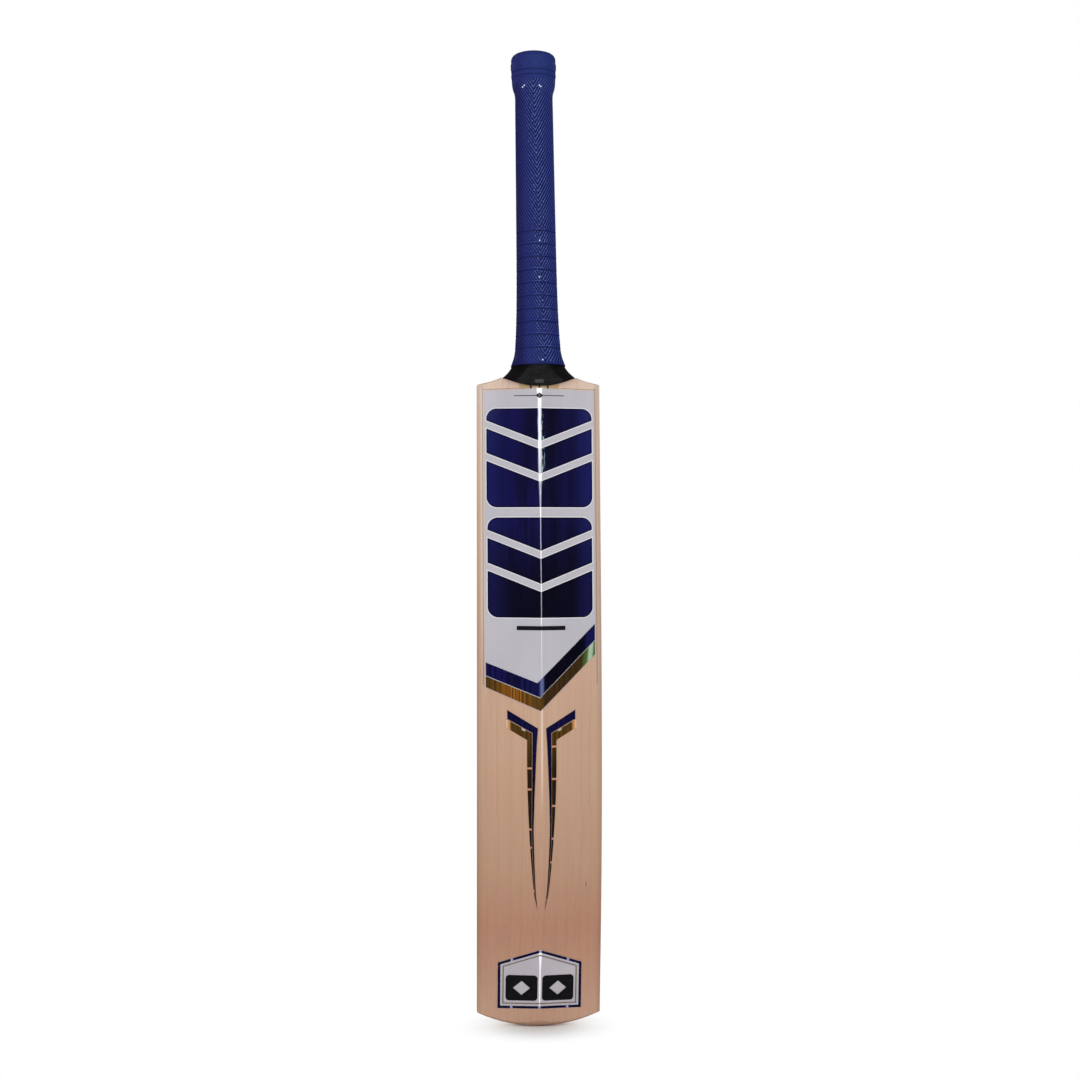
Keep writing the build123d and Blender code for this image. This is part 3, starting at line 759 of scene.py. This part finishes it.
def foil_navy():
    mat = Material("foil_navy")
    x, z = mat.x, mat.z
    # painted reflections on the mirror foil: upright streaks, bluer towards the outer edges,
    # darker on the lower panel
    reflection_streak = reflection_streaks(mat, pitch=0.55).rise(0.52, 0.72)
    broad = mat.grain(x=0.06, z=0.008).rise(0.3, 0.7)
    outer = x.abs().rise(26.0, 42.0)
    low = z.rise(450.0, 380.0)
    mat.colour = mat.mix(broad, rgb(10, 8, 44), rgb(18, 16, 82))
    mat.tint(rgb(30, 30, 108), reflection_streak, amount=0.55)
    mat.tint(rgb(28, 32, 108), outer, amount=0.55)
    mat.tint(rgb(6, 5, 10), low, amount=0.72)
    mat.tint(rgb(24, 24, 92), low * outer, amount=0.5)
    # the right slope faces away from the light and looks darker near the ridge
    mat.tint(rgb(8, 7, 16), x.rise(34.0, 2.0) * x.rise(0.0, 1.5), amount=0.45)
    # black keyline inside the edge
    mat.tint(rgb(6, 5, 12), block_distance(mat).rise(-1.3, -0.6), amount=0.8)
    # crumpled glints beside the ridge
    glint = mat.grain(x=0.9, z=0.12, rough=0.7).rise(0.56, 0.62)
    zone = x.rise(0.2, 0.9) * x.rise(5.2, 3.0) * z.near(505.0, half=20.0, soft=14.0)
    mat.tint(rgb(190, 226, 240), glint * zone)
    light = ridge_light(mat) * z.blend(455.0, 520.0, first=0.35, last=0.95)
    mat.tint(rgb(236, 238, 248), light)
    mat.finish(rough=0.28, metal=0.35, spec=0.4, coat=0.6, coat_rough=0.05)
    mat.bump(mat.grain(x=0.12, z=0.03), strength=0.4, distance=0.0006)
    return mat


def foil_blue():
    mat = Material("foil_blue")
    x, z = mat.x, mat.z
    # painted reflection streaks over the dark blue foil
    reflection_streak = reflection_streaks(mat, pitch=0.45).rise(0.35, 0.7)
    mat.colour = mat.mix(reflection_streak, rgb(12, 10, 52), rgb(24, 23, 100))
    # label band: painted reflection, darker right of the ridge and bluer again near its right
    # end
    mat.tint(rgb(7, 6, 16), x.rise(-2.0, 6.0) * 0.90 * z.rise(285.0, 290.0))
    right_end = x.near(43.5, half=2.5, soft=4.0) * 0.7 * z.rise(285.0, 290.0)
    mat.tint(rgb(24, 26, 104), right_end)
    # painted highlight along the ridge of the label band
    ridge = x.abs().rise(2.6, 0.6) * z.near(300.0, half=14.0, soft=3.0)
    mat.tint(rgb(150, 160, 220), ridge, amount=0.5)
    # flashes: painted reflection, darker downwards
    flash = z.rise(284.0, 282.0) * z.rise(84.0, 88.0)
    mat.tint(rgb(8, 6, 22), flash * z.blend(262.0, 215.0, first=0.25, last=0.75))
    # badge border: painted glints scattered over the foil, and painted glints as bright lines
    # at three places in x
    badge = z.rise(80.0, 76.0)
    mat.tint(rgb(13, 6, 40), badge, amount=0.6)
    border_glint = mat.grain(x=0.35, z=0.35, rough=0.7).rise(0.60, 0.66)
    mat.tint(rgb(96, 84, 200), badge * border_glint, amount=0.45)
    border_glint_lines = x.abs().near(24.5, half=0.3, soft=1.3).max(x.abs().rise(1.7, 0.3))
    mat.tint(rgb(205, 205, 245), badge * border_glint_lines, amount=0.85)
    mat.finish(rough=0.26, metal=0.4, spec=0.5, coat=0.5, coat_rough=0.06)
    return mat


# side in x, heights of the thin bright bars of painted glint across that side's gold flash
GOLD_GLINT_BARS = (
    (-1.0, (230.6, 212.5, 178.0, 162.2, 124.2)),
    (1.0, (249.2, 221.4, 198.2, 169.9, 149.2, 116.0)),
)


def foil_gold():
    mat = Material("foil_gold")
    x, z = mat.x, mat.z
    # painted reflection streaks over the gold foil
    reflection_streak = reflection_streaks(mat, pitch=0.5).rise(0.30, 0.72)
    mat.colour = mat.mix(reflection_streak, rgb(72, 50, 16), rgb(128, 88, 28))
    # label band: painted reflection, warmer on the left and brown on the right, with a painted
    # green glint at its right end
    band = z.rise(277.0, 278.5)
    warm = x.near(-22.0, half=9.0, soft=8.0) * reflection_streaks(mat, pitch=0.8).rise(0.42, 0.6)
    mat.tint(rgb(196, 122, 34), band * warm, amount=0.8)
    mat.tint(rgb(52, 34, 18), band * x.rise(-2.0, 4.0), amount=0.68)
    slant = x + (z - 320.0) * -0.10 + (reflection_streaks(mat, pitch=0.6) - 0.5) * 3.0
    mat.tint(rgb(92, 150, 70), slant.rise(34.0, 41.0) * band, amount=0.85)
    mat.tint(rgb(222, 240, 210), slant.near(42.4, half=0.9, soft=2.6) * band, amount=0.8)
    mat.tint(rgb(70, 96, 52), slant.rise(44.0, 46.5) * band, amount=0.6)
    # flashes: painted reflection, olive above and nearly black towards the lower tips
    flash = 1.0 - band
    mat.tint(rgb(26, 17, 9), flash * z.blend(264.0, 222.0, first=0.10, last=0.82))
    mat.tint(rgb(12, 8, 8), flash * z.blend(205.0, 120.0, first=0.0, last=0.6))
    # a painted highlight on top of each flash, with a brighter core
    flash_highlight = flash * x.abs().near(29.6, half=0.8, soft=3.4) * z.rise(258.0, 262.0)
    mat.tint(rgb(255, 186, 122), flash_highlight)
    flash_highlight_core = flash * x.abs().near(30.0, half=0.3, soft=0.8) * z.rise(258.0, 262.0)
    mat.tint(rgb(255, 232, 200), flash_highlight_core)
    # a painted glint, a pale dot nearer the ridge
    slope = (z - 263.6 + (x.abs() - 15.4) * -0.4).abs().fall(0.3, 1.6)
    dot = flash * x.abs().near(15.6, half=0.7, soft=1.6) * slope
    mat.tint(rgb(240, 232, 215), dot, amount=0.9)
    for side, heights in GOLD_GLINT_BARS:
        here = (x * side).rise(0.0, 1.0) * flash
        for height in heights:
            glint_bar = here * z.near(height, half=0.40, soft=0.75)
            mat.tint(rgb(250, 178, 138), glint_bar, amount=0.95)
    mat.finish(rough=0.28, metal=0.45, spec=0.5, coat=0.5, coat_rough=0.06)
    return mat


def print_black():
    mat = Material("print_black")
    mat.colour = mat.mix(mat.grain(x=0.2, z=0.2), rgb(12, 11, 15), rgb(24, 22, 28))
    mat.finish(rough=0.3, spec=0.5, coat=0.5, coat_rough=0.08)
    return mat


def badge_white():
    mat = Material("badge_film")
    mat.colour = mat.mix(mat.grain(x=0.05, z=0.05), rgb(164, 158, 164), rgb(184, 179, 185))
    # the ridge's painted highlight, a bright line wider upwards
    half = mat.z.blend(50.0, 74.0, first=0.7, last=1.7)
    mat.tint(rgb(250, 248, 252), (mat.x.abs() / half).fall(0.5, 1.2), amount=0.9)
    mat.finish(rough=0.34, spec=0.5, coat=0.7, coat_rough=0.07)
    return mat


def badge_gold():
    mat = Material("badge_gold")
    mat.colour = mat.mix(mat.grain(x=0.3, z=0.3), rgb(104, 84, 70), rgb(150, 126, 104))
    mat.finish(rough=0.3, metal=0.3, spec=0.5, coat=0.4, coat_rough=0.08)
    return mat


def starting(prefix):
    return [thing for name, thing in nodes.items() if name.startswith(prefix)]


def named(*names):
    return [nodes[name] for name in names]


willow().on(nodes["blade"])
cane().on(*starting("cane_"))
spring_rubber().on(*starting("rubber_spring"))
label_white().on(nodes["label_film"])
badge_white().on(nodes["badge_film"])
foil_navy().on(*starting("foil_block"))
foil_blue().on(*named(
    "label_band_blue", "flash_left_blue", "flash_right_blue", "badge_border",
))
foil_gold().on(*named("label_band_gold", "flash_left_gold", "flash_right_gold"))
badge_gold().on(nodes["badge_gold_line"])
print_black().on(*named(
    "badge_emblem_left", "badge_emblem_right", "label_bar", "label_hairline",
))
grip_finish().on(grip)
twine_finish().on(twine)

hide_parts("grip")
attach(grip, "grip_sleeve")
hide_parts("twine_binding")
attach(twine, "bat")

# --------------------------------------------------------------------------
# floor, world, lights and camera, in metres
# --------------------------------------------------------------------------
WHITE = 1.0  # brightness of the floor and the background


def mix_shaders(tree, factor, first, second):
    node = tree.nodes.new("ShaderNodeMixShader")
    for socket, source in zip(node.inputs, (factor, first, second)):
        tree.links.new(source, socket)
    return node.outputs[0]


def make_floor():
    """Lit floor under the bat, fading to plain glowing white; mirror rays pass through it."""
    bpy.ops.mesh.primitive_circle_add(
        vertices=96, radius=6.0, fill_type="NGON", location=(0, 0, 0.0)
    )
    floor = bpy.context.object
    floor.name = "floor"
    mat = Material("floor_white")
    from_bat = (mat.x * mat.x + mat.y * mat.y).sqrt() / 1000.0
    mat.colour = (0.9, 0.9, 0.905, 1.0)
    mat.finish(rough=0.9, spec=0.1)
    glow = mat.node("Emission")
    glow.inputs[0].default_value = (WHITE, WHITE, WHITE, 1.0)
    fade = from_bat.rise(0.0, 0.075).socket
    lit = mix_shaders(mat.tree, fade, mat.surface.outputs[0], glow.outputs[0])
    mirror_ray = mat.node("LightPath").outputs["Is Glossy Ray"]
    clear = mat.node("BsdfTransparent").outputs[0]
    shader = mix_shaders(mat.tree, mirror_ray, lit, clear)
    mat.tree.links.new(shader, mat.output.inputs[0])
    mat.on(floor)


def make_world():
    """White to the camera, dim to the bat, with reflections that brighten upwards."""
    world = bpy.data.worlds.new("studio")
    bpy.context.scene.world = world
    world.use_nodes = True
    tree = world.node_tree
    tree.nodes.clear()
    output = tree.nodes.new("ShaderNodeOutputWorld")
    path = tree.nodes.new("ShaderNodeLightPath")
    place = tree.nodes.new("ShaderNodeTexCoord")
    split = tree.nodes.new("ShaderNodeSeparateXYZ")
    tree.links.new(place.outputs["Generated"], split.inputs[0])
    upward = tree.nodes.new("ShaderNodeMapRange")
    upward.interpolation_type = "SMOOTHSTEP"
    tree.links.new(split.outputs["Z"], upward.inputs["Value"])
    settings = {"From Min": 0.25, "From Max": 1.0, "To Min": 0.014, "To Max": 0.22}
    for key, value in settings.items():
        upward.inputs[key].default_value = value

    def background(strength=1.0, colour=(1, 1, 1, 1)):
        node = tree.nodes.new("ShaderNodeBackground")
        node.inputs[0].default_value = colour
        node.inputs[1].default_value = strength
        return node

    diffuse = background(strength=0.26)
    glossy = background(colour=(0.93, 0.95, 1.0, 1))
    tree.links.new(upward.outputs[0], glossy.inputs[1])
    seen = background(strength=WHITE)
    lighting = mix_shaders(
        tree, path.outputs["Is Glossy Ray"], diffuse.outputs[0], glossy.outputs[0]
    )
    shader = mix_shaders(tree, path.outputs["Is Camera Ray"], lighting, seen.outputs[0])
    tree.links.new(shader, output.inputs[0])


SOFTBOX = (1.6, 1.8)
# name, place, height aimed at on the z axis, size, watts, seen in reflections
LIGHTS = (
    ("key_left", (-1.9, -2.1, 1.3), 0.45, SOFTBOX, 38, False),
    ("fill_right", (2.0, -1.9, 1.2), 0.45, SOFTBOX, 29, False),
    ("back_left", (-1.6, 2.1, 1.4), 0.45, SOFTBOX, 31, False),
    ("back_right", (1.8, 2.0, 1.3), 0.45, SOFTBOX, 32, False),
    ("ridge_strip", (0.10, -2.2, 1.25), 0.5, (0.09, 0.8), 5, True),
)


def make_light(name, place, aim_height, size, watts, glossy):
    data = bpy.data.lights.new(name, "AREA")
    data.shape = "RECTANGLE"
    data.size, data.size_y = size
    data.energy = watts
    light = bpy.data.objects.new(name, data)
    light.location = place
    light.rotation_mode = "QUATERNION"
    direction = Vector((0, 0, aim_height)) - Vector(place)
    light.rotation_quaternion = direction.to_track_quat("-Z", "Y")
    light.visible_glossy = glossy
    light.visible_camera = False
    bpy.context.scene.collection.objects.link(light)


CAMERA_TURN = math.radians(-3.5)  # around the bat, from straight behind its back
CAMERA_DISTANCE = 1.9
CAMERA_AIM = Vector((0.0, -0.02, 0.4262))


def make_camera():
    data = bpy.data.cameras.new("camera")
    data.sensor_width = 36.0
    data.lens = 72.9
    data.clip_start = 0.05
    camera = bpy.data.objects.new("camera", data)
    bpy.context.scene.collection.objects.link(camera)
    away = Vector((math.sin(CAMERA_TURN), -math.cos(CAMERA_TURN), 0.0))
    camera.location = CAMERA_AIM + away * CAMERA_DISTANCE
    camera.rotation_mode = "QUATERNION"
    camera.rotation_quaternion = (-away).to_track_quat("-Z", "Y")
    bpy.context.scene.camera = camera


make_floor()
make_world()
for light_row in LIGHTS:
    make_light(*light_row)
make_camera()

view = bpy.context.scene.view_settings
view.view_transform = "Standard"
view.look = "None"
view.exposure = 0.0
view.gamma = 1.0
